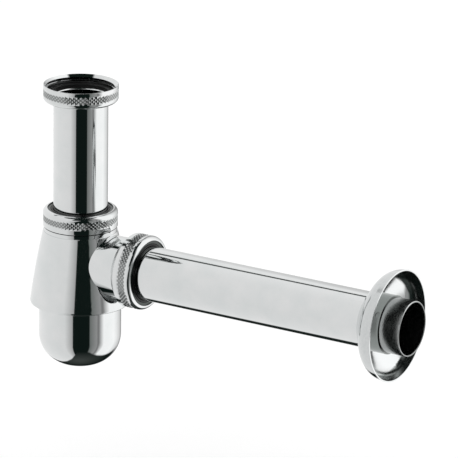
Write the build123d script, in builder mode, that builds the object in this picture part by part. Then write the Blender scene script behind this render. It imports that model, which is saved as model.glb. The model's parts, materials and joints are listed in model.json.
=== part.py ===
import os
from math import acos, cos, degrees, radians, sin, sqrt

from build123d import *

os.makedirs("parts", exist_ok=True)

# Driving dimensions in millimetres
# The origin is the centre of the inlet sealing face, +Z runs up the inlet axis
# and +X runs along the outlet, towards the wall.

# Tubes, both of 32 mm outside diameter
tube_radius = 16.0
tube_wall = 1.0
dip_clearance = 20.0  # dip tube above the outside of the cup's bottom
outlet_length = 189.6
outlet_insert = 9.6  # outlet tube inside the branch
outlet_past_wall = 9.3  # outlet tube beyond the rosette's rim

# Compression joints, the same at the neck and at the branch
bore_clearance = 0.4  # tube in its socket
seat_depth = 2.4  # 45 degree seat for the seal
mouth_wall = 2.155  # metal between the seat and the thread
seal_grip = 0.05  # seal round the tube
seal_clearance = 0.2  # seal in its seat
seal_stand = 1.0  # seal above the mouth
ring_thickness = 1.5
ring_inset = 0.7  # ring inside the nut's thread
ring_clearance = 0.3  # ring round the tube and in the nut's bore
ring_lip = 1.6  # lip that rises in the nut's bore
face_gap = 0.1  # between flat faces that turn on each other

# Threads are plain cylinders at their major radius, with a little play on each side
thread_play = 0.05
thread_lead = 0.6  # chamfer at the start of a male thread

# Slip nuts, all three alike
nut_wall = 1.045  # outside of the nut beyond its thread
nut_length = 10.0
nut_play = 1.6  # nut's bore round the tube
step_width = 1.8  # sunk face between the bore and the rounded end
step_depth = 0.6
nut_end_wall = 2.0
nut_mouth = 0.75  # chamfer at the open end
nut_edge = 2.4  # rounding of the end
relief_depth = 0.25  # thread relief behind the last turn

# Inlet flange and washer
washer_thickness = 2.0
washer_inset = 0.6  # washer inside the nut's thread
washer_play = 0.2  # washer's hole round the tube
flange_thickness = 1.0
flange_seat = 2.0  # flange beyond the nut's bore
flange_bend = 0.8  # rounding at the root of the flange

# Trap body
inlet_drop = 75.0  # sealing face to the top of the neck
body_height = 53.0
collar_gap = 1.1  # open thread between the nut and the collar
collar_height = 2.35
collar_step = 0.4  # collar inside the top of the cone
cone_bulge = 0.45  # cone outside a straight line
rim_flare = 7.5  # rim beyond the top of the cone
rim_band = 1.4  # short straight band under the cone
rim_rounding = 0.8
body_wall = 3.2
neck_depth = 9.5  # top of the neck to the top of the hollow
ledge_slope = 3.5  # height of the slope above the ledge
ledge_thickness = 2.5
ledge_step = 0.4  # ledge inside the cup's bore
outlet_drop = 27.1  # top of the neck to the outlet axis
branch_wall = 1.6
branch_flare = 4.9  # length of the cone that leads up to the thread
branch_gap = 0.3  # open thread between the nut and that cone
branch_reach = 17.4  # mouth of the branch beyond the middle of the cone
branch_stop = 18.6  # depth of the outlet tube's socket

# Cup
rim_wall = 5.6  # rim outside the cup's thread
cup_shoulder = 0.4  # cup beyond its thread
cup_socket = 11.0  # base of the body to the face that the cup's washer seals on
cup_wall = 2.2
cup_depth = 39.0  # cup below the base of the body
cup_corner = 18.6
cup_crown = 40.0
cup_gap = 0.3  # cup shoulder below the body
cup_washer = 2.0
cup_washer_clearance = 0.3

# Wall rosette
rosette_radius = 32.45
rosette_skirt = 7.9  # rim to the corner where the dome begins
rosette_draft = 1.57  # the skirt draws in this much
rosette_dome = 10.0  # height of the dome
rosette_shoulder = 11.0  # rounding between the skirt and the dome
rosette_root = 1.2  # rounding between the dome and the collar
rosette_wall = 0.9
rosette_collar = 14.4
rosette_play = 0.05
grip_radius = 1.6  # round dimples pressed into the collar
grip_depth = 0.4
grip_inset = 1.85  # from the collar's free edge
grip_count = 3
grip_angle = 56.0

# Worked out from the above: radii
socket_radius = tube_radius + bore_clearance
slip_thread = socket_radius + seat_depth + mouth_wall  # 20.955, as G 1 1/4
male_slip = slip_thread - thread_play
female_slip = slip_thread + thread_play
nut_radius = slip_thread + nut_wall
nut_bore = tube_radius + nut_play
step_radius = nut_bore + step_width
ring_radius = female_slip - ring_inset
flange_radius = nut_bore + flange_seat
cone_radius = nut_radius
collar_radius = cone_radius - collar_step
rim_radius = cone_radius + rim_flare
cone_mid_radius = (cone_radius + rim_radius) / 2 + cone_bulge
branch_radius = socket_radius + branch_wall
cup_thread = rim_radius - rim_wall  # 23.9, as G 1 1/2
male_cup = cup_thread - thread_play
female_cup = cup_thread + thread_play
cup_radius = cup_thread + cup_shoulder
cup_bore = cup_radius - cup_wall
ledge_bore = cup_bore - ledge_step

# Worked out from the above: places along the inlet axis
flange_face = -washer_thickness
flange_under = flange_face - flange_thickness
relief_length = washer_thickness + flange_thickness + face_gap
neck_top = -inlet_drop
shoulder_above_mouth = seal_stand + ring_thickness + 2 * face_gap
nut_opening = shoulder_above_mouth + nut_end_wall - nut_length  # from the mouth
collar_top = neck_top + nut_opening - collar_gap
cone_top = collar_top - collar_height
base_height = neck_top - body_height
rim_height = base_height + rim_band
cone_mid_height = (cone_top + rim_height) / 2
cavity_top = neck_top - neck_depth
seat_height = base_height + cup_socket
ledge_top = seat_height + ledge_thickness
cup_bottom = base_height - cup_depth
dip_end = cup_bottom + dip_clearance

# Worked out from the above: places along the outlet axis
outlet_height = neck_top - outlet_drop
branch_end = cone_mid_radius + branch_reach
flare_end = branch_end + nut_opening - branch_gap
flare_start = flare_end - branch_flare
outlet_start = branch_end - outlet_insert
outlet_end = outlet_start + outlet_length
rosette_rim = outlet_end - outlet_past_wall

# Section planes: local x is the radius, local y runs along the axis
inlet_section = Plane(origin=(0, 0, 0), x_dir=(1, 0, 0), z_dir=(0, 1, 0))
trap_section = Plane.XZ
neck_section = Plane(origin=(0, 0, neck_top), x_dir=(1, 0, 0), z_dir=(0, -1, 0))
outlet_section = Plane(origin=(0, 0, outlet_height), x_dir=(0, 0, 1), z_dir=(0, 1, 0))
branch_section = Plane(origin=(branch_end, 0, outlet_height), x_dir=(0, 0, 1), z_dir=(0, 1, 0))


def axis_of(section):
    return Axis(section.origin, section.y_dir)


def slip_nut(section, shoulder):
    # shoulder is where the inside of the end wall stands on the axis, and the open end lies before it
    end = shoulder + nut_end_wall
    opening = end - nut_length
    relief = shoulder - relief_length
    with BuildPart() as nut:
        with BuildSketch(section):
            with BuildLine():
                Polyline(
                    (female_slip, opening + nut_mouth),
                    (female_slip + nut_mouth, opening),
                    (nut_radius, opening),
                    (nut_radius, end),
                    (step_radius, end),
                    (step_radius, end - step_depth),
                    (nut_bore, end - step_depth),
                    (nut_bore, shoulder),
                    (female_slip + relief_depth, shoulder),
                    (female_slip + relief_depth, relief),
                    (female_slip, relief),
                    close=True,
                )
            make_face()
        revolve(axis=axis_of(section))
        outer_edges = nut.edges().filter_by(GeomType.CIRCLE).sort_by(SortBy.RADIUS)[-2:]
        fillet(outer_edges.sort_by(axis_of(section))[-1], nut_edge)
    return nut.part


def compression_seal(section):
    # rubber wedge ring between the tube and the seat in the mouth
    lift = seal_clearance * sqrt(2)
    with BuildPart() as seal:
        with BuildSketch(section):
            with BuildLine():
                Polyline(
                    (tube_radius + seal_grip, lift - seat_depth),
                    (socket_radius, lift - seat_depth),
                    (socket_radius + seat_depth, lift),
                    (socket_radius + seat_depth, seal_stand),
                    (tube_radius + seal_grip, seal_stand),
                    close=True,
                )
            make_face()
        revolve(axis=axis_of(section))
    return seal.part


def slip_ring(section):
    # black ring that presses on the seal, with a lip that fills the nut's bore
    base = seal_stand + face_gap
    top = base + ring_thickness
    with BuildPart() as ring:
        with BuildSketch(section):
            with BuildLine():
                Polyline(
                    (tube_radius + ring_clearance, base),
                    (ring_radius, base),
                    (ring_radius, top),
                    (nut_bore - ring_clearance, top),
                    (nut_bore - ring_clearance, top + ring_lip),
                    (tube_radius + ring_clearance, top + ring_lip),
                    close=True,
                )
            make_face()
        revolve(axis=axis_of(section))
    return ring.part


# Slip nuts
inlet_nut = slip_nut(inlet_section, -flange_under + face_gap)
inlet_nut.label = "inlet_nut"
body_nut = slip_nut(neck_section, shoulder_above_mouth)
body_nut.label = "body_nut"
outlet_nut = slip_nut(branch_section, shoulder_above_mouth)
outlet_nut.label = "outlet_nut"

# Seals and slip rings of the two compression joints
body_seal = compression_seal(neck_section)
body_seal.label = "body_seal"
outlet_seal = compression_seal(branch_section)
outlet_seal.label = "outlet_seal"
body_slip_ring = slip_ring(neck_section)
body_slip_ring.label = "body_slip_ring"
outlet_slip_ring = slip_ring(branch_section)
outlet_slip_ring.label = "outlet_slip_ring"

# Flat washer on the inlet flange
with BuildPart() as inlet_washer:
    with BuildSketch(Plane.XY.offset(flange_face)):
        Circle(female_slip - washer_inset)
        Circle(tube_radius + washer_play, mode=Mode.SUBTRACT)
    extrude(amount=washer_thickness)
inlet_washer.part.label = "inlet_washer"

# Dip tube with its turned-out flange
with BuildPart() as dip_tube:
    with BuildSketch(trap_section):
        with BuildLine():
            Polyline(
                (tube_radius - tube_wall, dip_end),
                (tube_radius, dip_end),
                (tube_radius, flange_under),
                (flange_radius, flange_under),
                (flange_radius, flange_face),
                (tube_radius - tube_wall, flange_face),
                close=True,
            )
        make_face()
    revolve(axis=Axis.Z)
    bend = dip_tube.edges().filter_by(GeomType.CIRCLE).filter_by_position(Axis.Z, flange_under, flange_under)
    fillet(bend.sort_by(SortBy.RADIUS)[0], flange_bend)
    mouth = dip_tube.edges().group_by(Axis.Z)[-1].sort_by(SortBy.RADIUS)[0]
    fillet(mouth, flange_bend)
dip_tube.part.label = "dip_tube"

# Trap body: the turned and cast shape, its branch, then the hollows
with BuildPart() as trap_body:
    with BuildSketch(trap_section):
        with BuildLine():
            Polyline(
                (0, neck_top),
                (male_slip - thread_lead, neck_top),
                (male_slip, neck_top - thread_lead),
                (male_slip, collar_top),
                (collar_radius, collar_top),
                (collar_radius, cone_top),
                (cone_radius, cone_top),
            )
            ThreePointArc(
                (cone_radius, cone_top),
                (cone_mid_radius, cone_mid_height),
                (rim_radius, rim_height),
            )
            Polyline((rim_radius, rim_height), (rim_radius, base_height), (0, base_height), (0, neck_top))
        make_face()
    revolve(axis=Axis.Z)
    rim = trap_body.edges().group_by(Axis.Z)[0].sort_by(SortBy.RADIUS)[-1]
    fillet(rim, rim_rounding)
    with BuildSketch(outlet_section):
        with BuildLine():
            Polyline(
                (0, 0),
                (branch_radius, 0),
                (branch_radius, flare_start),
                (male_slip, flare_end),
                (male_slip, branch_end - thread_lead),
                (male_slip - thread_lead, branch_end),
                (0, branch_end),
                close=True,
            )
        make_face()
    revolve(axis=axis_of(outlet_section))
    with BuildSketch(trap_section):
        with BuildLine():
            Polyline(
                (cone_radius - body_wall, cavity_top),
                (cone_mid_radius - body_wall, cone_mid_height),
                (female_cup, ledge_top + ledge_slope),
                (ledge_bore, ledge_top),
                (ledge_bore, seat_height),
                (female_cup, seat_height),
                (female_cup, base_height),
                (0, base_height),
                (0, neck_top),
                (socket_radius + seat_depth, neck_top),
                (socket_radius, neck_top - seat_depth),
                (socket_radius, cavity_top + body_wall),
                close=True,
            )
        make_face()
    revolve(axis=Axis.Z, mode=Mode.SUBTRACT)
    with BuildSketch(outlet_section):
        with BuildLine():
            Polyline(
                (0, 0),
                (tube_radius - tube_wall, 0),
                (tube_radius - tube_wall, branch_end - branch_stop),
                (socket_radius, branch_end - branch_stop),
                (socket_radius, branch_end - seat_depth),
                (socket_radius + seat_depth, branch_end),
                (0, branch_end),
                close=True,
            )
        make_face()
    revolve(axis=axis_of(outlet_section), mode=Mode.SUBTRACT)
trap_body.part.label = "trap_body"

# Flat washer that seals the cup inside the body
spigot_top = seat_height - cup_washer - face_gap
with BuildPart() as cup_seal:
    with BuildSketch(Plane.XY.offset(spigot_top)):
        Circle(female_cup - cup_washer_clearance)
        Circle(ledge_bore, mode=Mode.SUBTRACT)
    extrude(amount=cup_washer)
cup_seal.part.label = "cup_seal"

# Cup: threaded spigot, straight wall, then a corner arc that runs into a flatter crown
cup_top = base_height - cup_gap
corner_turn = acos((cup_radius - cup_corner) / (cup_crown - cup_corner))
crown_centre = cup_bottom + cup_crown
corner_height = crown_centre - (cup_crown - cup_corner) * sin(corner_turn)


def cup_outline(inset):
    # closed outline from the axis, set in from the outside by a wall
    turn = degrees(corner_turn)
    wall = Line((cup_radius - inset, cup_top), (cup_radius - inset, corner_height))
    corner = JernArc(wall @ 1, (0, -1), cup_corner - inset, -turn)
    crown = JernArc(corner @ 1, corner % 1, cup_crown - inset, -(90 - turn))
    Polyline(crown @ 1, (0, cup_top), wall @ 0)


with BuildPart() as cup:
    with BuildSketch(trap_section):
        with BuildLine():
            cup_outline(0)
        make_face()
    revolve(axis=Axis.Z)
    with BuildSketch(Plane.XY.offset(cup_top)):
        Circle(male_cup)
    extrude(amount=spigot_top - face_gap - cup_top)
    with BuildSketch(trap_section):
        with BuildLine():
            cup_outline(cup_wall)
        make_face()
    revolve(axis=Axis.Z, mode=Mode.SUBTRACT)
    with BuildSketch(Plane.XY.offset(cup_top)):
        Circle(cup_bore)
    extrude(amount=spigot_top - cup_top, mode=Mode.SUBTRACT)
    chamfer(cup.edges().group_by(Axis.Z)[-1].sort_by(SortBy.RADIUS)[-1], thread_lead)
cup.part.label = "cup"

# Outlet tube
with BuildPart() as outlet_tube:
    with BuildSketch(Plane.YZ.offset(outlet_start)):
        with Locations((0, outlet_height)):
            Circle(tube_radius)
            Circle(tube_radius - tube_wall, mode=Mode.SUBTRACT)
    extrude(amount=outlet_end - outlet_start)
outlet_tube.part.label = "outlet_tube"

# Wall rosette: a spun dome whose middle turns back into a collar that grips the tube
dome_corner = rosette_rim - rosette_skirt
dome_top = dome_corner - rosette_dome
collar_end = dome_top + rosette_collar
hole_radius = tube_radius + rosette_play
rim_excess = rosette_wall  # cut off again, to leave a flat rim
with BuildPart() as wall_rosette:
    with BuildSketch(outlet_section):
        with BuildLine():
            FilletPolyline(
                (rosette_radius + rosette_draft * rim_excess / rosette_skirt, rosette_rim + rim_excess),
                (rosette_radius - rosette_draft, dome_corner),
                (hole_radius, dome_top),
                (hole_radius, collar_end),
                radius=[rosette_shoulder, rosette_root],
            )
            offset(amount=rosette_wall, side=Side.RIGHT)
        make_face()
    revolve(axis=axis_of(outlet_section))
    split(bisect_by=Plane.YZ.offset(rosette_rim), keep=Keep.BOTTOM)
    grip_place = collar_end - grip_inset
    grip_floor = hole_radius + rosette_wall - grip_depth
    for turn in range(grip_count):
        angle = radians(grip_angle + turn * 360 / grip_count)
        outward = Vector(0, -sin(angle), cos(angle))
        floor_centre = Vector(grip_place, 0, outlet_height) + outward * grip_floor
        with BuildSketch(Plane(origin=floor_centre, x_dir=(1, 0, 0), z_dir=outward)):
            Circle(grip_radius)
        extrude(amount=rosette_wall, mode=Mode.SUBTRACT)
wall_rosette.part.label = "wall_rosette"

export_step(inlet_nut, "parts/inlet_nut.step")
export_step(inlet_washer.part, "parts/inlet_washer.step")
export_step(dip_tube.part, "parts/dip_tube.step")
export_step(body_nut, "parts/body_nut.step")
export_step(body_slip_ring, "parts/body_slip_ring.step")
export_step(body_seal, "parts/body_seal.step")
export_step(trap_body.part, "parts/trap_body.step")
export_step(cup_seal.part, "parts/cup_seal.step")
export_step(cup.part, "parts/cup.step")
export_step(outlet_nut, "parts/outlet_nut.step")
export_step(outlet_slip_ring, "parts/outlet_slip_ring.step")
export_step(outlet_seal, "parts/outlet_seal.step")
export_step(outlet_tube.part, "parts/outlet_tube.step")
export_step(wall_rosette.part, "parts/wall_rosette.step")
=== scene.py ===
import json
import math

import bpy
from mathutils import Matrix, Vector
from mathutils.bvhtree import BVHTree
from mathutils.interpolate import poly_3d_calc


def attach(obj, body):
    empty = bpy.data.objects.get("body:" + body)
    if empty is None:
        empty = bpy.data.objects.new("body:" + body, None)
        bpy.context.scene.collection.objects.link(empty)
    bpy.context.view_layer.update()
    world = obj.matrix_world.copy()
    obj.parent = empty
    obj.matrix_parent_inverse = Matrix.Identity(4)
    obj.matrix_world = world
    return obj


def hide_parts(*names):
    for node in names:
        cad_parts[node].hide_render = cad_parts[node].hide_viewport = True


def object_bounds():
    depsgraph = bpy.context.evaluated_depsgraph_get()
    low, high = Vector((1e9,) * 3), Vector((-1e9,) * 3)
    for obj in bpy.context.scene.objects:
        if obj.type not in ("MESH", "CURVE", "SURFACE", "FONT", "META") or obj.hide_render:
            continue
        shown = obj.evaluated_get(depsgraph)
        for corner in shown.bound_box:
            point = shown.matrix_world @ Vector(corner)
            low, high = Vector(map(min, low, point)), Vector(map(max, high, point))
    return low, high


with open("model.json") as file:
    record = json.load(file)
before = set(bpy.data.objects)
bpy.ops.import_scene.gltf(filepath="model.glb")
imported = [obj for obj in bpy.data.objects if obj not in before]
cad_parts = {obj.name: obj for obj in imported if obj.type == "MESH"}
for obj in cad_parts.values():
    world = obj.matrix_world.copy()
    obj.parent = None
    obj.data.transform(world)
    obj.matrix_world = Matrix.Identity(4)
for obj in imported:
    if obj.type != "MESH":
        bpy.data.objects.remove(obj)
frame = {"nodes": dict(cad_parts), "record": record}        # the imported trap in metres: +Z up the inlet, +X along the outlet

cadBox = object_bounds()
mm = 0.001
hair = 0.01 * mm        # smaller than any real size, for comparing places
weld = 1e-6             # points closer than this are one
print("frame loaded:", len(frame["nodes"]), "nodes")


# Helpers

def hexColour(code):
    channels = [int(code[i:i + 2], 16) / 255 for i in (1, 3, 5)]
    linear = [c / 12.92 if c <= 0.04045 else ((c + 0.055) / 1.055) ** 2.4 for c in channels]
    return (*linear, 1.0)


def addNode(tree, kind, settings=None, links=None):
    node = tree.nodes.new(kind)
    for name, value in (settings or {}).items():
        if isinstance(name, int) or name in node.inputs:
            node.inputs[name].default_value = value
        else:
            setattr(node, name, value)
    for socket, source in (links or {}).items():
        tree.links.new(source, node.inputs[socket])
    return node


def newMaterial(name):
    material = bpy.data.materials.new(name)
    material.use_nodes = True
    material.node_tree.nodes.clear()
    return material, material.node_tree


def setRamp(ramp, stops):
    elements = ramp.color_ramp.elements
    while len(elements) > 1:
        elements.remove(elements[-1])
    for i, (place, colour) in enumerate(stops):
        stop = elements[0] if i == 0 else elements.new(place)
        stop.position = place
        stop.color = colour


def makeActive(piece):
    if bpy.context.object and bpy.context.object.mode == "EDIT":
        bpy.ops.object.mode_set(mode="OBJECT")
    bpy.ops.object.select_all(action="DESELECT")
    piece.select_set(True)
    bpy.context.view_layer.objects.active = piece


def applyModifier(piece, kind, settings):
    makeActive(piece)
    modifier = piece.modifiers.new(kind.lower(), kind)
    for name, value in settings.items():
        setattr(modifier, name, value)
    bpy.ops.object.modifier_apply(modifier=modifier.name)


def cutOrJoin(piece, tool, operation):
    applyModifier(piece, "BOOLEAN", {"object": tool, "operation": operation, "solver": "EXACT"})
    bpy.data.objects.remove(tool, do_unlink=True)


def smoothed(piece, degrees=30):
    makeActive(piece)
    bpy.ops.object.shade_smooth_by_angle(angle=math.radians(degrees))


def shadeAsCad(piece, node, threaded):
    # outside the threads, each corner takes the exact normal of the CAD surface that it was copied from;
    # the surface is looked for a little way into the face, so that a crease gives the right one of its two
    inward = 0.04
    cad = frame["nodes"][node].data
    surface = BVHTree.FromPolygons([v.co for v in cad.vertices], [p.vertices for p in cad.polygons])
    mesh = piece.data
    normals = [corner.vector.copy() for corner in mesh.corner_normals]
    for face in mesh.polygons:
        if threaded(face.center):
            continue
        for loop in face.loop_indices:
            place = mesh.vertices[mesh.loops[loop].vertex_index].co
            found = surface.find_nearest(place.lerp(face.center, inward))[2]
            triangle = cad.polygons[found]
            shares = poly_3d_calc([cad.vertices[v].co for v in triangle.vertices], place)
            blended = Vector()
            for share, corner in zip(shares, triangle.loop_indices):
                blended += share * cad.corner_normals[corner].vector
            normals[loop] = blended.normalized()
    mesh.normals_split_custom_set(normals)


def markFinish(piece, name, domain, share):
    # share gives each point or face how much of this finish it shows, from 0 to 1
    mesh = piece.data
    if domain == "POINT":
        shares = [share(vertex.co, vertex.normal) for vertex in mesh.vertices]
    else:
        shares = [share(face.center, face.normal) for face in mesh.polygons]
    mesh.attributes.new(name, "FLOAT", domain).data.foreach_set("value", shares)


def inPlace(piece, node, body, finish):
    piece.data.materials.clear()
    piece.data.materials.append(finishes[finish])
    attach(piece, body)
    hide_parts(node)


# Camera at the photo's angle

viewpoint = {
    "azimuth": 31.346,      # degrees round from the front
    "elevation": 17.870,
    "roll": 0.907,
    "distance": 2.26027,    # metres from the aim point
    "aim": (0.102193, 0.0, -0.065177),
    "focalPixels": 3942.917,
    "imagePixels": 458,
    "sensor": 36.0,
    "clipStart": 0.05,
    "clipEnd": 100.0,
}


def makeCamera():
    s = viewpoint
    azimuth, elevation, roll = (math.radians(s[k]) for k in ("azimuth", "elevation", "roll"))
    back = Vector((math.sin(azimuth) * math.cos(elevation),
                   -math.cos(azimuth) * math.cos(elevation),
                   math.sin(elevation)))
    right = Vector((math.cos(azimuth), math.sin(azimuth), 0.0))
    up = back.cross(right)
    turnedRight = math.cos(roll) * right + math.sin(roll) * up
    turnedUp = math.cos(roll) * up - math.sin(roll) * right
    place = Matrix((turnedRight, turnedUp, back)).transposed().to_4x4()
    place.translation = Vector(s["aim"]) + back * s["distance"]
    bpy.ops.object.camera_add()
    camera = bpy.context.object
    camera.name = "photoCamera"
    camera.matrix_world = place
    camera.data.sensor_width = s["sensor"]
    camera.data.lens = s["sensor"] * s["focalPixels"] / s["imagePixels"]
    camera.data.clip_start = s["clipStart"]
    camera.data.clip_end = s["clipEnd"]
    bpy.context.scene.camera = camera


# Studio: pale floor, even light, and the cards that polished metal mirrors.
# Directions are in degrees: round from the front to the right, and up from level.

studio = {
    "floorDrop": 75 * mm,        # below the lowest point, so the cup can be unscrewed and slid down
    "floorSize": 60.0,
    "floorColour": "#FAFAFA",
    "floorGlow": 0.09,
    "cardLight": 1.27,           # makes up for what the plating takes
    "leftWall": [(-180, "#C4C4C4"), (-160, "#747474"), (-146, "#E0E0E0"),     # grey strip at the back
                 (-10, "#D0D0D0"), (12.5, "#9C9C9C"), (13.5, "#0E1614")],     # shaded towards the flag
    "rightWall": [(60, "#0E1614"), (61.5, "#666A68"), (82, "#8C8C8C"),        # grey card beside the flag
                  (85, "#747474"), (88, "#747474"), (104, "#F0F0F0"),         # gap, then the white wall
                  (145, "#F4F4F4"), (180, "#C4C4C4")],
    "flagTone": "#0E1614",
    "flagMiddle": 37.0,          # the black flag stands between the two walls
    "leftLean": 0.516,           # its sides lean
    "rightLean": 0.1,
    "leanFrom": -17.0,
    "leanTo": 25.0,
    "leftFade": (-60.0, 0.0),    # the lean comes in between these
    "rightFade": (120.0, 75.0),
    "roofFrom": 26.0,            # above it a dark roof reaches over the camera
    "roofLeft": 6.0,
    "roofRight": 74.0,
    "roofSoft": 3.0,             # half the width of its soft edges
    "roofRightSoft": 5.0,
    "overhead": 64.0,            # straight up it is dark all round
    "overheadSoft": 1.5,
    "tableTop": -46.0,           # dark table under the object, which reaches further at the back
    "tableSoft": 6.0,
    "tableBack": -32.0,
    "tableBackSoft": 4.0,
    "tableTone": "#3A3E3C",
    "tableLit": -85.0,           # it gets lighter down to here
    "nearLevel": 0.05,           # least drop of a direction, so that none lands endlessly far away
    "backFrom": 0.5,             # the back starts here, on a plane one unit down
    "tableLeft": -0.40,          # its left edge on that plane, where it crosses the middle
    "tableTurn": 1.2,
    "tableRight": 0.636,         # its right edge, where it crosses the middle
    "tableSlant": 0.381,
    "edgeSoft": 0.03,
    "rightEdgeSoft": 0.1,
    "seamHeight": 47.5,          # thin dark seam between two panels at the left and back
    "seamHalf": 3.0,
    "seamTone": "#505352",
}


def makeWorld():
    s = studio
    scene = bpy.context.scene
    scene.view_settings.view_transform = "Standard"
    world = bpy.data.worlds.new("studioLight")
    scene.world = world
    world.use_nodes = True
    tree = world.node_tree
    tree.nodes.clear()
    direction = addNode(tree, "ShaderNodeTexCoord").outputs["Generated"]
    axes = addNode(tree, "ShaderNodeSeparateXYZ", links={0: direction})
    away = addNode(tree, "ShaderNodeMath", {"operation": "MULTIPLY", 1: -1.0}, {0: axes.outputs["Y"]})
    angle = addNode(tree, "ShaderNodeMath", {"operation": "ARCTAN2"},
                    {0: axes.outputs["X"], 1: away.outputs[0]})
    turn = addNode(tree, "ShaderNodeMath", {"operation": "DEGREES"}, {0: angle.outputs[0]}).outputs[0]
    rise = addNode(tree, "ShaderNodeMath", {"operation": "ARCSINE"}, {0: axes.outputs["Z"]})
    lift = addNode(tree, "ShaderNodeMath", {"operation": "DEGREES"}, {0: rise.outputs[0]}).outputs[0]
    above = addNode(tree, "ShaderNodeMapRange",
                    {1: s["leanFrom"], 2: s["leanTo"], 4: s["leanTo"] - s["leanFrom"]}, {0: lift})

    # each side of the flag leans by its own amount, and the lean fades out far from the flag
    walls = []
    for stops, lean, (far, near) in ((s["leftWall"], -s["leftLean"], s["leftFade"]),
                                     (s["rightWall"], s["rightLean"], s["rightFade"])):
        fade = addNode(tree, "ShaderNodeMapRange", {1: far, 2: near, 4: lean}, {0: turn})
        leaned = addNode(tree, "ShaderNodeMath", {"operation": "MULTIPLY_ADD"},
                         {0: above.outputs[0], 1: fade.outputs[0], 2: turn})
        place = addNode(tree, "ShaderNodeMapRange", {1: -180.0, 2: 180.0}, {0: leaned.outputs[0]})
        ramp = addNode(tree, "ShaderNodeValToRGB", links={0: place.outputs[0]})
        setRamp(ramp, [((d + 180) / 360, hexColour(c)) for d, c in stops])
        walls.append(ramp.outputs[0])
    onRight = addNode(tree, "ShaderNodeMath", {"operation": "GREATER_THAN", 1: s["flagMiddle"]}, {0: turn})
    room = addNode(tree, "ShaderNodeMix", {"data_type": "RGBA"},
                   {0: onRight.outputs[0], 6: walls[0], 7: walls[1]})

    # roof: a dark panel over the camera
    high = addNode(tree, "ShaderNodeMapRange",
                   {1: s["roofFrom"] - s["roofSoft"], 2: s["roofFrom"] + s["roofSoft"]}, {0: lift})
    fromLeft = addNode(tree, "ShaderNodeMapRange",
                       {1: s["roofLeft"] - s["roofSoft"], 2: s["roofLeft"] + s["roofSoft"]}, {0: turn})
    fromRight = addNode(tree, "ShaderNodeMapRange",
                        {1: s["roofRight"] + s["roofRightSoft"], 2: s["roofRight"] - s["roofRightSoft"]},
                        {0: turn})
    across = addNode(tree, "ShaderNodeMath", {"operation": "MULTIPLY"},
                     {0: fromLeft.outputs[0], 1: fromRight.outputs[0]})
    overCamera = addNode(tree, "ShaderNodeMath", {"operation": "MULTIPLY"},
                         {0: high.outputs[0], 1: across.outputs[0]})
    overhead = addNode(tree, "ShaderNodeMapRange",
                       {1: s["overhead"] - s["overheadSoft"], 2: s["overhead"] + s["overheadSoft"]},
                       {0: lift})
    onRoof = addNode(tree, "ShaderNodeMath", {"operation": "MAXIMUM"},
                     {0: overCamera.outputs[0], 1: overhead.outputs[0]})
    withRoof = addNode(tree, "ShaderNodeMix", {"data_type": "RGBA", 7: hexColour(s["flagTone"])},
                       {0: onRoof.outputs[0], 6: room.outputs[2]})

    # table: where a direction would land on a plane below, counted to the right and to the back
    down = addNode(tree, "ShaderNodeMath", {"operation": "MULTIPLY", 1: -1.0}, {0: axes.outputs["Z"]})
    below = addNode(tree, "ShaderNodeMath", {"operation": "MAXIMUM", 1: s["nearLevel"]}, {0: down.outputs[0]})
    right = addNode(tree, "ShaderNodeMath", {"operation": "DIVIDE"},
                    {0: axes.outputs["X"], 1: below.outputs[0]})
    behind = addNode(tree, "ShaderNodeMath", {"operation": "DIVIDE"},
                     {0: axes.outputs["Y"], 1: below.outputs[0]})
    low = addNode(tree, "ShaderNodeMapRange",
                  {1: s["tableTop"] + s["tableSoft"], 2: s["tableTop"] - s["tableSoft"]}, {0: lift})
    lowBack = addNode(tree, "ShaderNodeMapRange",
                      {1: s["tableBack"] + s["tableBackSoft"], 2: s["tableBack"] - s["tableBackSoft"]},
                      {0: lift})
    farBack = addNode(tree, "ShaderNodeMath", {"operation": "GREATER_THAN", 1: s["backFrom"]},
                      {0: behind.outputs[0]})
    reach = addNode(tree, "ShaderNodeMath", {"operation": "MULTIPLY"},
                    {0: lowBack.outputs[0], 1: farBack.outputs[0]})
    lowest = addNode(tree, "ShaderNodeMath", {"operation": "MAXIMUM"},
                     {0: low.outputs[0], 1: reach.outputs[0]})
    both = addNode(tree, "ShaderNodeMath", {"operation": "MULTIPLY_ADD", 1: s["tableTurn"]},
                   {0: right.outputs[0], 2: behind.outputs[0]})
    pastLeft = addNode(tree, "ShaderNodeMapRange",
                       {1: s["tableLeft"] - s["edgeSoft"], 2: s["tableLeft"] + s["edgeSoft"]},
                       {0: both.outputs[0]})
    slanted = addNode(tree, "ShaderNodeMath", {"operation": "MULTIPLY_ADD", 1: s["tableSlant"]},
                      {0: behind.outputs[0], 2: right.outputs[0]})
    pastRight = addNode(tree, "ShaderNodeMapRange",
                        {1: s["tableRight"] + s["rightEdgeSoft"], 2: s["tableRight"] - s["edgeSoft"]},
                        {0: slanted.outputs[0]})
    between = addNode(tree, "ShaderNodeMath", {"operation": "MULTIPLY"},
                      {0: pastLeft.outputs[0], 1: pastRight.outputs[0]})
    onTable = addNode(tree, "ShaderNodeMath", {"operation": "MULTIPLY"},
                      {0: lowest.outputs[0], 1: between.outputs[0]})
    tableLight = addNode(tree, "ShaderNodeMapRange", {1: s["tableTop"], 2: s["tableLit"]}, {0: lift})
    table = addNode(tree, "ShaderNodeMix",
                    {"data_type": "RGBA", 6: hexColour(s["flagTone"]), 7: hexColour(s["tableTone"])},
                    {0: tableLight.outputs[0]})
    withTable = addNode(tree, "ShaderNodeMix", {"data_type": "RGBA"},
                        {0: onTable.outputs[0], 6: withRoof.outputs[2], 7: table.outputs[2]})

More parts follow.
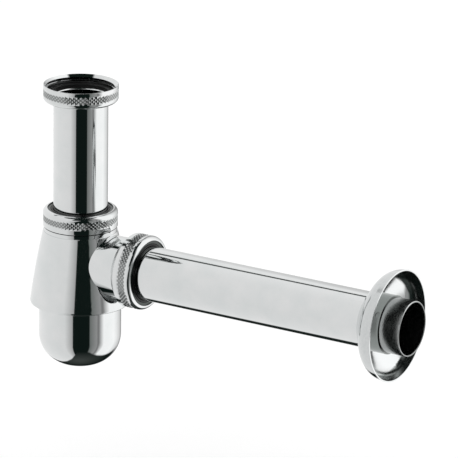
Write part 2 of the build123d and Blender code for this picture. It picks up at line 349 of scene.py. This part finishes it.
    # seam: a thin line round the left and the back
    seam = addNode(tree, "ShaderNodeMath", {"operation": "COMPARE", 1: s["seamHeight"], 2: s["seamHalf"]},
                   {0: lift})
    atBack = addNode(tree, "ShaderNodeMath", {"operation": "GREATER_THAN", 1: 0.0}, {0: axes.outputs["Y"]})
    atLeft = addNode(tree, "ShaderNodeMath", {"operation": "LESS_THAN", 1: 0.0}, {0: axes.outputs["X"]})
    leftBack = addNode(tree, "ShaderNodeMath", {"operation": "MULTIPLY"},
                       {0: atBack.outputs[0], 1: atLeft.outputs[0]})
    onSeam = addNode(tree, "ShaderNodeMath", {"operation": "MULTIPLY"},
                     {0: seam.outputs[0], 1: leftBack.outputs[0]})
    withSeam = addNode(tree, "ShaderNodeMix", {"data_type": "RGBA", 7: hexColour(s["seamTone"])},
                       {0: onSeam.outputs[0], 6: withTable.outputs[2]})
    mirrored = addNode(tree, "ShaderNodeBackground", {"Strength": s["cardLight"]},
                       {"Color": withSeam.outputs[2]})
    even = addNode(tree, "ShaderNodeBackground", {"Color": hexColour("#FFFFFF")})
    path = addNode(tree, "ShaderNodeLightPath")
    mixed = addNode(tree, "ShaderNodeMixShader",
                    links={0: path.outputs["Is Glossy Ray"], 1: even.outputs[0], 2: mirrored.outputs[0]})
    addNode(tree, "ShaderNodeOutputWorld", links={"Surface": mixed.outputs[0]})


def makeFloor():
    s = studio
    bpy.ops.object.select_all(action="DESELECT")
    bpy.ops.mesh.primitive_plane_add(size=s["floorSize"], location=(0, 0, cadBox[0].z - s["floorDrop"]))
    floor = bpy.context.object
    floor.name = "studioFloor"
    floor.visible_glossy = False
    material, tree = newMaterial("mattWhiteFloor")
    path = addNode(tree, "ShaderNodeLightPath")
    glow = addNode(tree, "ShaderNodeMath", {"operation": "MULTIPLY", 1: s["floorGlow"]},
                   {0: path.outputs["Is Camera Ray"]})
    surface = addNode(tree, "ShaderNodeBsdfPrincipled",
                      {"Base Color": hexColour(s["floorColour"]), "Roughness": 1.0, "Specular IOR Level": 0.0,
                       "Emission Color": hexColour("#FFFFFF")},
                      {"Emission Strength": glow.outputs[0]})
    addNode(tree, "ShaderNodeOutputMaterial", links={"Surface": surface.outputs[0]})
    floor.data.materials.append(material)


# Finishes

chromeLook = {
    "cloudSize": 14 * mm,
    "brightTones": ("#E0E3E3", "#E8E9E9"),
    # painted shade: the dark grey of the knurl's valleys, a nut's recess and the tube's end
    "shadeAndDullTone": "#4C504E",
    "shadeAndDullRange": (0.3, 0.9),      # marks between these run from bright to the painted shade
    "unbuffedRoughness": 0.22,        # added to the roughness of the buffed plate
    "satinRoughness": 0.42,
    "buffingSize": 2.5 * mm,
    "buffedRoughness": (0.03, 0.06),
}


def polishedChrome():
    # Bright chromium plate on buffed brass: a clean cold mirror, with a faint cloudiness where the
    # buffing wheel left it a little less sharp. Painted shade darkens the plate to a dark grey in the knurl's
    # valleys, whose peaks are a duller plate, in the recess of a nut, and, on a duller finish, at the tube's
    # end in the wall. The flare of the branch is satin, as it came from the lathe.
    s = chromeLook
    material, tree = newMaterial("polishedChromeOnBrass")
    place = addNode(tree, "ShaderNodeTexCoord").outputs["Object"]
    cloud = addNode(tree, "ShaderNodeTexNoise", {"Scale": 1 / s["cloudSize"], "Detail": 3.0},
                    {"Vector": place})
    bright = addNode(tree, "ShaderNodeValToRGB", links={0: cloud.outputs["Fac"]})
    setRamp(bright, [(0.3, hexColour(s["brightTones"][0])), (0.7, hexColour(s["brightTones"][1]))])
    # painted shade: the marked places are darkened towards the shade tone and made rougher
    marked = addNode(tree, "ShaderNodeAttribute", {"attribute_name": "shadeAndDullPlate"}).outputs["Fac"]
    shadeAndDullPlate = addNode(tree, "ShaderNodeMapRange", {1: s["shadeAndDullRange"][0], 2: s["shadeAndDullRange"][1]},
                       {0: marked}).outputs[0]
    tint = addNode(tree, "ShaderNodeMix", {"data_type": "RGBA", 7: hexColour(s["shadeAndDullTone"])},
                   {0: shadeAndDullPlate, 6: bright.outputs[0]})
    buffing = addNode(tree, "ShaderNodeTexNoise", {"Scale": 1 / s["buffingSize"], "Detail": 4.0},
                      {"Vector": place})
    gloss = addNode(tree, "ShaderNodeMapRange",
                    {1: 0.35, 2: 0.7, 3: s["buffedRoughness"][0], 4: s["buffedRoughness"][1]},
                    {0: buffing.outputs["Fac"]})
    dulled = addNode(tree, "ShaderNodeMath", {"operation": "MULTIPLY_ADD", 1: s["unbuffedRoughness"]},
                     {0: shadeAndDullPlate, 2: gloss.outputs[0]})
    satin = addNode(tree, "ShaderNodeAttribute", {"attribute_name": "satin"}).outputs["Fac"]
    spread = addNode(tree, "ShaderNodeMath", {"operation": "MULTIPLY_ADD", 1: s["satinRoughness"]},
                     {0: satin, 2: dulled.outputs[0]})
    ripple = addNode(tree, "ShaderNodeBump", {"Strength": 0.05, "Distance": 0.02 * mm},
                     {"Height": buffing.outputs["Fac"]})
    surface = addNode(tree, "ShaderNodeBsdfPrincipled", {"Metallic": 1.0},
                      {"Base Color": tint.outputs[2], "Roughness": spread.outputs[0],
                       "Normal": ripple.outputs[0]})
    addNode(tree, "ShaderNodeOutputMaterial", links={"Surface": surface.outputs[0]})
    return material


spunLook = {
    "grainSize": 1.6 * mm,
    "plateTones": ("#D1D4D4", "#D9DBDB"),
    # painted light: a lighter plate tone in the hollow
    "hollowPaintedLightTone": "#ECEEEE",
    # painted shade inside the skirt; the collar next to the tube takes the same darker grey
    "darkCollarAndSkirtShadeTone": "#8A8E8C",
    "collarRange": (17.7 * mm, 17.4 * mm),      # the collar starts between these radii
    "roughness": 0.06,
    "hollowRoughness": 0.13,
    "unevenness": 0.04,
}


def spunChrome():
    # Thin chromium plate on a spun brass cover: a slightly greyer mirror than the heavy pieces, with a
    # lighter plate painted in the hollow as painted light, softer there. The collar next to the tube and the
    # inside of the skirt are a darker grey, painted shade inside the skirt.
    s = spunLook
    material, tree = newMaterial("spunChromeOnBrass")
    place = addNode(tree, "ShaderNodeTexCoord").outputs["Object"]
    grain = addNode(tree, "ShaderNodeTexNoise", {"Scale": 1 / s["grainSize"], "Detail": 4.0},
                    {"Vector": place})
    plate = addNode(tree, "ShaderNodeValToRGB", links={0: grain.outputs["Fac"]})
    setRamp(plate, [(0.3, hexColour(s["plateTones"][0])), (0.7, hexColour(s["plateTones"][1]))])
    hollow = addNode(tree, "ShaderNodeAttribute", {"attribute_name": "hollow"}).outputs["Fac"]
    # painted light: the hollow is given the lighter plate tone
    litHollowPlate = addNode(tree, "ShaderNodeMix", {"data_type": "RGBA", 7: hexColour(s["hollowPaintedLightTone"])},
                    {0: hollow, 6: plate.outputs[0]})
    fromAxis = addNode(tree, "ShaderNodeVectorMath",
                       {"operation": "SUBTRACT", 1: (0, 0, tubes["outletHeight"])}, {0: place})
    flat = addNode(tree, "ShaderNodeVectorMath", {"operation": "MULTIPLY", 1: (0, 1, 1)},
                   {0: fromAxis.outputs[0]})
    radius = addNode(tree, "ShaderNodeVectorMath", {"operation": "LENGTH"}, {0: flat.outputs[0]})
    collar = addNode(tree, "ShaderNodeMapRange", {1: s["collarRange"][0], 2: s["collarRange"][1]},
                     {0: radius.outputs["Value"]})
    inSkirt = addNode(tree, "ShaderNodeAttribute", {"attribute_name": "inSkirt"}).outputs["Fac"]
    # painted shade inside the skirt, and the darker grey of the collar next to the tube
    collarAndSkirtShade = addNode(tree, "ShaderNodeMath", {"operation": "MAXIMUM"}, {0: collar.outputs[0], 1: inSkirt})
    tint = addNode(tree, "ShaderNodeMix", {"data_type": "RGBA", 7: hexColour(s["darkCollarAndSkirtShadeTone"])},
                   {0: collarAndSkirtShade.outputs[0], 6: litHollowPlate.outputs[2]})
    spread = addNode(tree, "ShaderNodeMapRange", {3: s["roughness"], 4: s["hollowRoughness"]}, {0: hollow})
    uneven = addNode(tree, "ShaderNodeMath", {"operation": "MULTIPLY_ADD", 1: s["unevenness"]},
                     {0: grain.outputs["Fac"], 2: spread.outputs[0]})
    ripple = addNode(tree, "ShaderNodeBump", {"Strength": 0.03, "Distance": 0.02 * mm},
                     {"Height": grain.outputs["Fac"]})
    surface = addNode(tree, "ShaderNodeBsdfPrincipled", {"Metallic": 1.0},
                      {"Base Color": tint.outputs[2], "Roughness": uneven.outputs[0],
                       "Normal": ripple.outputs[0]})
    addNode(tree, "ShaderNodeOutputMaterial", links={"Surface": surface.outputs[0]})
    return material


def mouldedRubber():
    # Black rubber pressed in a mould: matt, with a fine grain and slightly greyer bloom in places.
    material, tree = newMaterial("mouldedBlackRubber")
    place = addNode(tree, "ShaderNodeTexCoord").outputs["Object"]
    bloom = addNode(tree, "ShaderNodeTexNoise", {"Scale": 1 / (4 * mm), "Detail": 3.0}, {"Vector": place})
    tint = addNode(tree, "ShaderNodeValToRGB", links={0: bloom.outputs["Fac"]})
    setRamp(tint, [(0.4, hexColour("#0C0D0D")), (0.75, hexColour("#151616"))])
    grain = addNode(tree, "ShaderNodeTexNoise", {"Scale": 1 / (0.3 * mm), "Detail": 2.0}, {"Vector": place})
    rough = addNode(tree, "ShaderNodeMapRange", {1: 0.3, 2: 0.7, 3: 0.5, 4: 0.68}, {0: bloom.outputs["Fac"]})
    bump = addNode(tree, "ShaderNodeBump", {"Strength": 0.4, "Distance": 0.03 * mm},
                   {"Height": grain.outputs["Fac"]})
    surface = addNode(tree, "ShaderNodeBsdfPrincipled", {"Specular IOR Level": 0.35},
                      {"Base Color": tint.outputs[0], "Roughness": rough.outputs[0],
                       "Normal": bump.outputs[0]})
    addNode(tree, "ShaderNodeOutputMaterial", links={"Surface": surface.outputs[0]})
    return material


def mouldedPlastic():
    # Black polypropylene from an injection mould: satin, with a very fine spark-eroded texture.
    material, tree = newMaterial("mouldedBlackPolypropylene")
    place = addNode(tree, "ShaderNodeTexCoord").outputs["Object"]
    texture = addNode(tree, "ShaderNodeTexNoise", {"Scale": 1 / (0.25 * mm), "Detail": 2.0},
                      {"Vector": place})
    flow = addNode(tree, "ShaderNodeTexNoise", {"Scale": 1 / (6 * mm), "Detail": 2.0}, {"Vector": place})
    tint = addNode(tree, "ShaderNodeValToRGB", links={0: flow.outputs["Fac"]})
    setRamp(tint, [(0.4, hexColour("#0A0B0B")), (0.7, hexColour("#101111"))])
    rough = addNode(tree, "ShaderNodeMapRange", {1: 0.3, 2: 0.7, 3: 0.36, 4: 0.48}, {0: flow.outputs["Fac"]})
    bump = addNode(tree, "ShaderNodeBump", {"Strength": 0.25, "Distance": 0.02 * mm},
                   {"Height": texture.outputs["Fac"]})
    surface = addNode(tree, "ShaderNodeBsdfPrincipled", {"Specular IOR Level": 0.35},
                      {"Base Color": tint.outputs[0], "Roughness": rough.outputs[0],
                       "Normal": bump.outputs[0]})
    addNode(tree, "ShaderNodeOutputMaterial", links={"Surface": surface.outputs[0]})
    return material


# Turned shapes: a circle is drawn out ring by ring along a closed profile of radius and height

def extrudeRings(name, profile, columns):
    bpy.ops.object.select_all(action="DESELECT")
    bpy.ops.mesh.primitive_circle_add(vertices=columns, radius=profile[0][0])
    piece = bpy.context.object
    piece.name = name
    bpy.ops.object.mode_set(mode="EDIT")
    bpy.ops.mesh.select_all(action="SELECT")
    bpy.ops.transform.translate(value=(0, 0, profile[0][1]))
    for (r0, z0), (r1, z1) in zip(profile, profile[1:]):
        bpy.ops.mesh.extrude_edges_move(TRANSFORM_OT_translate={"value": (0, 0, z1 - z0)})
        bpy.ops.transform.resize(value=(r1 / r0, r1 / r0, 1), center_override=(0, 0, 0))
    bpy.ops.mesh.select_all(action="SELECT")
    bpy.ops.mesh.remove_doubles(threshold=weld)
    bpy.ops.mesh.normals_make_consistent(inside=False)
    bpy.ops.mesh.select_all(action="DESELECT")
    bpy.ops.object.mode_set(mode="OBJECT")
    return piece


def arc(centre, radius, start, end, steps):
    angles = [math.radians(start + (end - start) * i / steps) for i in range(steps + 1)]
    return [(centre[0] + radius * math.cos(a), centre[1] + radius * math.sin(a)) for a in angles]


# Tubes: the cut ends are rounded over, so that only a thin line of the wall shines

tubes = {
    "outside": 16.0 * mm,
    "wall": 1.0 * mm,
    "columns": 160,
    "endSteps": 16,
    "ringGap": 0.15 * mm,       # rings this close behind each rounding keep the long walls straight
    "smoothing": 20,
    "outletFrom": 34.0 * mm,
    "outletTo": 223.6 * mm,
    "outletHeight": -102.1 * mm,
    "shadedDullEnd": 12.6 * mm,       # length at the wall, in the rosette's hollow, that is plated but not buffed and is darkened there as painted shade
    "fade": 8.0 * mm,
    # how far the end is darkened, as painted shade on a duller finish
    "endShadeAndDullness": 0.68,
    "lip": 0.25 * mm,           # depth of the rounded edge that stays bright, left out of the painted shade
}


def makeOutletTube():
    s = tubes
    half = s["wall"] / 2
    middle = s["outside"] - half
    length = s["outletTo"] - s["outletFrom"]
    near = half + s["ringGap"]
    shadedFrom = length - s["shadedDullEnd"]
    profile = (arc((middle, half), half, -180, 0, s["endSteps"])
               + [(s["outside"], near), (s["outside"], shadedFrom - s["fade"]), (s["outside"], shadedFrom),
                  (s["outside"], length - near)]
               + arc((middle, length - half), half, 0, 180, s["endSteps"])
               + [(s["outside"] - s["wall"], length - near), (s["outside"] - s["wall"], near)])
    tube = extrudeRings("outletTube", profile + profile[:1], s["columns"])
    tube.rotation_euler = (0, math.pi / 2, 0)
    tube.location = (s["outletFrom"], 0, s["outletHeight"])
    makeActive(tube)
    bpy.ops.object.transform_apply(location=True, rotation=True, scale=True)
    smoothed(tube, s["smoothing"])

    # the end at the wall is darkened with painted shade, on a duller finish, except its rounded lip
    def share(place, normal):
        fromWall = s["outside"] - math.hypot(place.y, place.z - s["outletHeight"])
        onLip = hair < fromWall < s["lip"]
        return s["endShadeAndDullness"] if place.x > s["outletFrom"] + shadedFrom - hair and not onLip else 0.0

    markFinish(tube, "shadeAndDullPlate", "POINT", share)
    inPlace(tube, "outlet_tube", "outlet_tube", "chrome")
    print("outletTube made,", len(tube.data.polygons), "faces")


# Thread tools: a trapezoid swept along a screw line, to cut a groove or to stand as a ridge

pitch = 2.309 * mm      # 11 turns to the inch
flank = math.radians(27.5)


def threadTool(name, narrow, wide, narrowWidth, start, turns, steps=128):
    # narrow and wide are the radii of the two parallel sides; the flanks stand 55 degrees apart
    depth = abs(wide - narrow)
    wideWidth = narrowWidth + 2 * depth * math.tan(flank)
    bpy.ops.object.select_all(action="DESELECT")
    bpy.ops.mesh.primitive_plane_add(size=1, rotation=(math.pi / 2, 0, 0))
    tool = bpy.context.object
    tool.name = name
    bpy.ops.object.transform_apply(location=True, rotation=True, scale=True)
    bpy.ops.object.mode_set(mode="EDIT")
    bpy.ops.transform.resize(value=(depth, 1, wideWidth), center_override=(0, 0, 0))
    bpy.ops.mesh.select_all(action="DESELECT")
    bpy.ops.object.mode_set(mode="OBJECT")
    narrowSide = -1 if narrow < wide else 1
    for vertex in tool.data.vertices:
        vertex.select = vertex.co.x * narrowSide > 0
    bpy.ops.object.mode_set(mode="EDIT")
    bpy.ops.transform.resize(value=(1, 1, narrowWidth / wideWidth), center_override=(0, 0, 0))
    bpy.ops.mesh.select_all(action="SELECT")
    bpy.ops.transform.translate(value=((narrow + wide) / 2, 0, start))
    bpy.ops.mesh.delete(type="ONLY_FACE")
    bpy.ops.object.mode_set(mode="OBJECT")
    applyModifier(tool, "SCREW", {"axis": "Z", "screw_offset": pitch, "iterations": turns,
                                  "angle": 2 * math.pi, "steps": steps, "render_steps": steps,
                                  "use_merge_vertices": True})
    bpy.ops.object.mode_set(mode="EDIT")
    bpy.ops.mesh.select_all(action="SELECT")
    bpy.ops.mesh.remove_doubles(threshold=weld / 10)
    bpy.ops.mesh.fill_holes(sides=0)
    bpy.ops.mesh.select_all(action="SELECT")
    bpy.ops.mesh.normals_make_consistent(inside=False)
    bpy.ops.object.mode_set(mode="OBJECT")
    return tool


# Slip nuts: a knurled nut, modelled upwards from its open end and turned into each of its three places

slipNut = {
    "columns": 116,             # two for each diamond of the knurl, a multiple of 4
    "outside": 22.0 * mm,
    "height": 10.0 * mm,
    "endRound": 2.4 * mm,
    "endSteps": 12,
    "stepRadius": 19.4 * mm,
    "stepDepth": 0.6 * mm,
    "stepEdge": 0.05 * mm,
    "bore": 17.6 * mm,
    "shoulder": 8.0 * mm,       # inside of the end wall
    "relief": 21.25 * mm,
    "reliefFrom": 4.9 * mm,
    "threadTop": 19.55 * mm,    # crests of the female thread
    "threadRoot": 21.0 * mm,
    "threadEnd": 0.6 * mm,      # slope from the crests to the relief
    "grooveRoot": 0.42 * mm,
    "grooveFrom": -1.6 * mm,
    "grooveTurns": 3,
    "grooveOver": 0.25 * mm,    # the tool stands past the crests by this much
    "mouth": 21.65 * mm,        # a 45 degree bevel leads down to the crests
    "edge": 0.3 * mm,           # rounding at the open end
    "edgeSteps": 9,
    "knurlStep": 1.0 * mm,      # the knurl is drawn about twice as coarse as a real one, so that it shows
    "knurlDepth": 0.32 * mm,
    "knurlTo": 6.15 * mm,
    # the knurl's valleys and the recess round the bore are darkened with painted shade; the knurl's peaks are
    # a duller plate
    "peakDullness": 0.36,
    "valleyShadeAndDullness": 0.78,
    "recessPaintedShade": 1.0,
    "margin": 0.1 * mm,         # tells the knurl's valleys from its peaks and from the inside
    "smoothing": 12,
}


def makeNut(name, knurlRows, skirt):
    s = slipNut
    rows = [s["knurlTo"] - i * s["knurlStep"] for i in reversed(range(knurlRows))]
    edging = arc((s["outside"] - s["edge"], s["edge"] - skirt), s["edge"], -90, 0, s["edgeSteps"])
    rounding = arc((s["outside"] - s["endRound"], s["height"] - s["endRound"]), s["endRound"], 0, 90,
                   s["endSteps"])
    bandEnds = rows[0] - s["knurlStep"], rows[-1] + s["knurlStep"]
    stepHeight = s["height"] - s["stepDepth"]
    profile = [(s["mouth"], -skirt)] + edging
    profile += [(s["outside"], height) for height in (bandEnds[0], *rows, bandEnds[1])] + rounding
    profile += [(s["stepRadius"] + s["stepEdge"], s["height"]),
                (s["stepRadius"], s["height"] - s["stepEdge"]),
                (s["stepRadius"], stepHeight), (s["bore"], stepHeight), (s["bore"], s["shoulder"]),
                (s["relief"], s["shoulder"]), (s["relief"], s["reliefFrom"]),
                (s["threadTop"], s["reliefFrom"] - s["threadEnd"]),
                (s["threadTop"], s["mouth"] - s["threadTop"]),
                (s["mouth"], 0.0), (s["mouth"], -skirt)]
    nut = extrudeRings(name, profile, s["columns"])

    # knurl: every second point of the band is pressed in, and each quad is split along its two low points
    low = set()
    for vertex in nut.data.vertices:
        x, y, z = vertex.co
        row = round((z - rows[0]) / s["knurlStep"])
        inBand = 0 <= row < knurlRows and math.hypot(x, y) > s["outside"] - hair
        onRow = abs(z - rows[0] - row * s["knurlStep"]) < weld
        column = round(math.atan2(y, x) / (2 * math.pi) * s["columns"])
        vertex.select = inBand and onRow and (row + column) % 2 == 1
        if vertex.select:
            low.add(vertex.index)
    bpy.ops.object.mode_set(mode="EDIT")
    pressed = 1 - s["knurlDepth"] / s["outside"]
    bpy.ops.transform.resize(value=(pressed, pressed, 1), center_override=(0, 0, 0))
    bpy.ops.mesh.select_mode(type="FACE")
    for method in ("FIXED", "FIXED_ALTERNATE"):
        bpy.ops.mesh.select_all(action="DESELECT")
        bpy.ops.object.mode_set(mode="OBJECT")
        for face in nut.data.polygons:
            corners = [corner in low for corner in face.vertices]
            isQuad = len(corners) == 4
            first = isQuad and (corners[0] or corners[2])
            second = isQuad and (corners[1] or corners[3])
            face.select = first if method == "FIXED" else second and not first
        bpy.ops.object.mode_set(mode="EDIT")
        bpy.ops.mesh.quads_convert_to_tris(quad_method=method)
    bpy.ops.mesh.select_mode(type="VERT")
    bpy.ops.object.mode_set(mode="OBJECT")
    groove = threadTool("nutGroove", s["threadRoot"], s["threadTop"] - s["grooveOver"], s["grooveRoot"],
                        s["grooveFrom"], s["grooveTurns"])
    cutOrJoin(nut, groove, "DIFFERENCE")
    smoothed(nut, s["smoothing"])

    # painted shade in the recess round the bore and in the knurl's valleys, a duller plate on the knurl's
    # peaks
    def share(place, normal):
        radius = math.hypot(place.x, place.y)
        inRows = rows[0] - hair < place.z < rows[-1] + hair
        if place.z > s["shoulder"] and radius < s["stepRadius"] + hair:
            return s["recessPaintedShade"]
        if inRows and radius > s["relief"] + s["margin"]:
            return s["valleyShadeAndDullness"] if radius < s["outside"] - s["margin"] else s["peakDullness"]
        return 0.0

    markFinish(nut, "shadeAndDullPlate", "POINT", share)
    return nut


nutPlaces = {     # node, place, rotation, rows of knurl, and a skirt over the edge of what it screws on
    "inletNut": ("inlet_nut", (0, 0, 4.9 * mm), (math.pi, 0, 0), 4, 0.0),           # open end up
    "bodyNut": ("body_nut", (0, 0, -80.3 * mm), (0, 0, 0), 4, 0.6 * mm),
    "outletNut": ("outlet_nut", (38.3 * mm, 0, -102.1 * mm), (0, math.pi / 2, 0), 5, 1.6 * mm),
}


def placeNuts():
    for name, (node, place, rotation, knurlRows, skirt) in nutPlaces.items():
        nut = makeNut(name, knurlRows, skirt)
        nut.rotation_euler = rotation
        nut.location = place
        makeActive(nut)
        bpy.ops.object.transform_apply(location=True, rotation=True, scale=True)
        inPlace(nut, node, node, "chrome")
        print(name, "placed,", len(nut.data.polygons), "faces")


# Threads of the body and the cup, cut into copies of their CAD shapes

castBody = {
    "neckTop": -75.0 * mm,
    "maleTop": 20.905 * mm,
    "maleRoot": 19.45 * mm,
    "grooveRoot": 0.5 * mm,
    "grooveOver": 0.3 * mm,     # the tool stands past the crests by this much
    "neckTurns": 3,
    "neckThread": 6.35 * mm,    # length of each thread from its open end
    "branchThread": 5.55 * mm,
    "baseThread": 9.0 * mm,
    "nutBase": -5.3 * mm,       # open end of the nut, seen from the mouth that it is on
    "turnsLater": 0.6,          # turns left out at the start, where the groove would run into the collar
    "branchEnd": 43.6 * mm,
    "branchHeight": -102.1 * mm,
    "flareFrom": 33.1 * mm,
    "flareTo": 38.0 * mm,
    "flareDepth": 1.6 * mm,     # the flare starts this far inside the thread's roots
    "cupWall": 23.95 * mm,      # bore that the cup screws into
    "ridgeTop": 23.05 * mm,
    "ridgeWidth": 0.5 * mm,
    "ridgeFoot": 0.25 * mm,     # the ridge is sunk into the wall by this much
    "ridgeFrom": 1.0 * mm,      # above the base
    "ridgeTurns": 3,
    "baseHeight": -128.0 * mm,
    "margin": 0.2 * mm,         # a thread is told from the rest with this much to spare
    "slack": 0.05 * mm,
}


def copyOfNode(node, name):
    makeActive(frame["nodes"][node])
    bpy.ops.object.duplicate()
    piece = bpy.context.object
    piece.name = name
    world = piece.matrix_world.copy()
    piece.parent = None
    piece.matrix_world = world
    bpy.ops.object.transform_apply(location=True, rotation=True, scale=True)
    for key in list(piece.keys()):
        del piece[key]
    bpy.ops.object.mode_set(mode="EDIT")
    bpy.ops.mesh.select_all(action="SELECT")
    bpy.ops.mesh.remove_doubles(threshold=weld)
    bpy.ops.object.mode_set(mode="OBJECT")
    return piece


def onBodyThread(place):
    s = castBody
    radius = math.hypot(place.x, place.y)
    root = s["maleRoot"] - s["margin"]
    onNeck = radius > root and place.z > s["neckTop"] - s["neckThread"]
    fromBranch = math.hypot(place.y, place.z - s["branchHeight"])
    onBranch = fromBranch > root and place.x > s["branchEnd"] - s["branchThread"]
    atWall = s["ridgeTop"] - s["margin"] < radius < s["cupWall"] + s["slack"]
    inBase = atWall and place.z < s["baseHeight"] + s["baseThread"]
    return onNeck or onBranch or inBase


def cutBodyThreads():
    s = castBody
    body = copyOfNode("trap_body", "trapBody")
    # the ridge of one thread runs in the groove of the other
    firstTurn = s["nutBase"] + slipNut["grooveFrom"] + pitch / 2
    later = s["turnsLater"]
    for place, rotation in (((0, 0, s["neckTop"]), (0, 0, 0)),
                            ((s["branchEnd"], 0, s["branchHeight"]), (0, math.pi / 2, 0))):
        groove = threadTool("maleGroove", s["maleRoot"], s["maleTop"] + s["grooveOver"], s["grooveRoot"],
                            firstTurn, s["neckTurns"])
        makeActive(groove)
        for turned, moved in (((0, 0, later * 2 * math.pi), (0, 0, later * pitch)), (rotation, place)):
            groove.rotation_euler = turned
            groove.location = moved
            bpy.ops.object.transform_apply(location=True, rotation=True, scale=True)
        cutOrJoin(body, groove, "DIFFERENCE")
    ridge = threadTool("cupRidge", s["ridgeTop"], s["cupWall"] + s["ridgeFoot"], s["ridgeWidth"],
                       s["baseHeight"] + s["ridgeFrom"], s["ridgeTurns"])
    cutOrJoin(body, ridge, "UNION")
    smoothed(body)
    shadeAsCad(body, "trap_body", onBodyThread)

    def share(place, normal):
        fromBranch = math.hypot(place.y, place.z - s["branchHeight"])
        alongFlare = s["flareFrom"] - s["slack"] < place.x < s["flareTo"] + s["slack"]
        onFlare = s["maleRoot"] - s["flareDepth"] < fromBranch < s["maleTop"] + 2 * s["slack"]
        return 1.0 if alongFlare and onFlare else 0.0

    markFinish(body, "satin", "FACE", share)
    inPlace(body, "trap_body", "trap_body", "chrome")
    print("trapBody threaded,", len(body.data.polygons), "faces")


screwCup = {
    "maleTop": 23.85 * mm,
    "maleRoot": 22.95 * mm,
    "grooveRoot": 0.65 * mm,
    "turns": 4,
}


def onCupThread(place):
    s = screwCup
    radius = math.hypot(place.x, place.y)
    atWall = s["maleRoot"] - castBody["margin"] < radius < s["maleTop"] + castBody["slack"]
    return atWall and place.z > castBody["baseHeight"]


def cutCupThread():
    s = screwCup
    cup = copyOfNode("cup", "screwCup")
    groove = threadTool("cupGroove", s["maleRoot"], s["maleTop"] + castBody["grooveOver"], s["grooveRoot"],
                        castBody["baseHeight"] + castBody["ridgeFrom"], s["turns"])
    cutOrJoin(cup, groove, "DIFFERENCE")
    smoothed(cup)
    shadeAsCad(cup, "cup", onCupThread)
    inPlace(cup, "cup", "cup", "chrome")
    print("screwCup threaded,", len(cup.data.polygons), "faces")


# Rosette: a copy of its CAD shape, with the faces of its hollow marked

spunRosette = {
    "rim": 214.3 * mm,
    "skirt": 6.5 * mm,          # depth of the skirt's inside, behind the rim
    "skirtRadius": 28.0 * mm,   # the skirt lies outside this radius
    # how far the inside of the skirt is darkened as painted shade
    "skirtPaintedShade": 0.85,
    "facesWall": -0.02,         # X of a normal from which a face belongs to the hollow
    "facesFlat": 0.9,           # and from which it belongs to the rim
}


def markRosette():
    s = spunRosette
    rosette = copyOfNode("wall_rosette", "spunRosette")
    smoothed(rosette)
    shadeAsCad(rosette, "wall_rosette", lambda place: False)

    # faces of the hollow, which take the lighter painted-light tone
    def inHollow(place, normal):
        return 1.0 if normal.x > s["facesWall"] else 0.0

    # faces inside the skirt behind the rim, darkened as painted shade
    def inSkirt(place, normal):
        radius = math.hypot(place.y, place.z - tubes["outletHeight"])
        inside = s["facesWall"] < normal.x < s["facesFlat"] and radius > s["skirtRadius"]
        return s["skirtPaintedShade"] if inside and place.x > s["rim"] - s["skirt"] else 0.0

    markFinish(rosette, "hollow", "FACE", inHollow)
    markFinish(rosette, "inSkirt", "FACE", inSkirt)
    inPlace(rosette, "wall_rosette", "wall_rosette", "chrome")
    rosette.data.materials[0] = spunChrome()
    print("spunRosette marked,", len(rosette.data.polygons), "faces")


# Washer of the cup: small enough to pass the crests of the body's thread when the cup is unscrewed

cupWasher = {
    "inside": 21.9 * mm,
    "outside": 22.9 * mm,
    "columns": 128,
}


def makeCupWasher():
    s = cupWasher
    heights = [corner[2] for corner in frame["nodes"]["cup_seal"].bound_box]
    low, high = min(heights), max(heights)
    profile = [(s["inside"], low), (s["outside"], low), (s["outside"], high), (s["inside"], high),
               (s["inside"], low)]
    washer = extrudeRings("cupWasher", profile, s["columns"])
    smoothed(washer)
    inPlace(washer, "cup_seal", "cup_seal", "rubber")
    print("cupWasher made,", len(washer.data.polygons), "faces")


finishes = {"chrome": polishedChrome(), "rubber": mouldedRubber(), "black_plastic": mouldedPlastic()}
makeCamera()
makeWorld()
makeFloor()
print("camera and studio set")
for part in frame["record"]["subparts"]:
    node = frame["nodes"][part["node"]]
    node.data.materials.clear()
    node.data.materials.append(finishes[part["material_slot"]])
print("finishes set")
makeOutletTube()
markRosette()
placeNuts()
cutBodyThreads()
cutCupThread()
makeCupWasher()
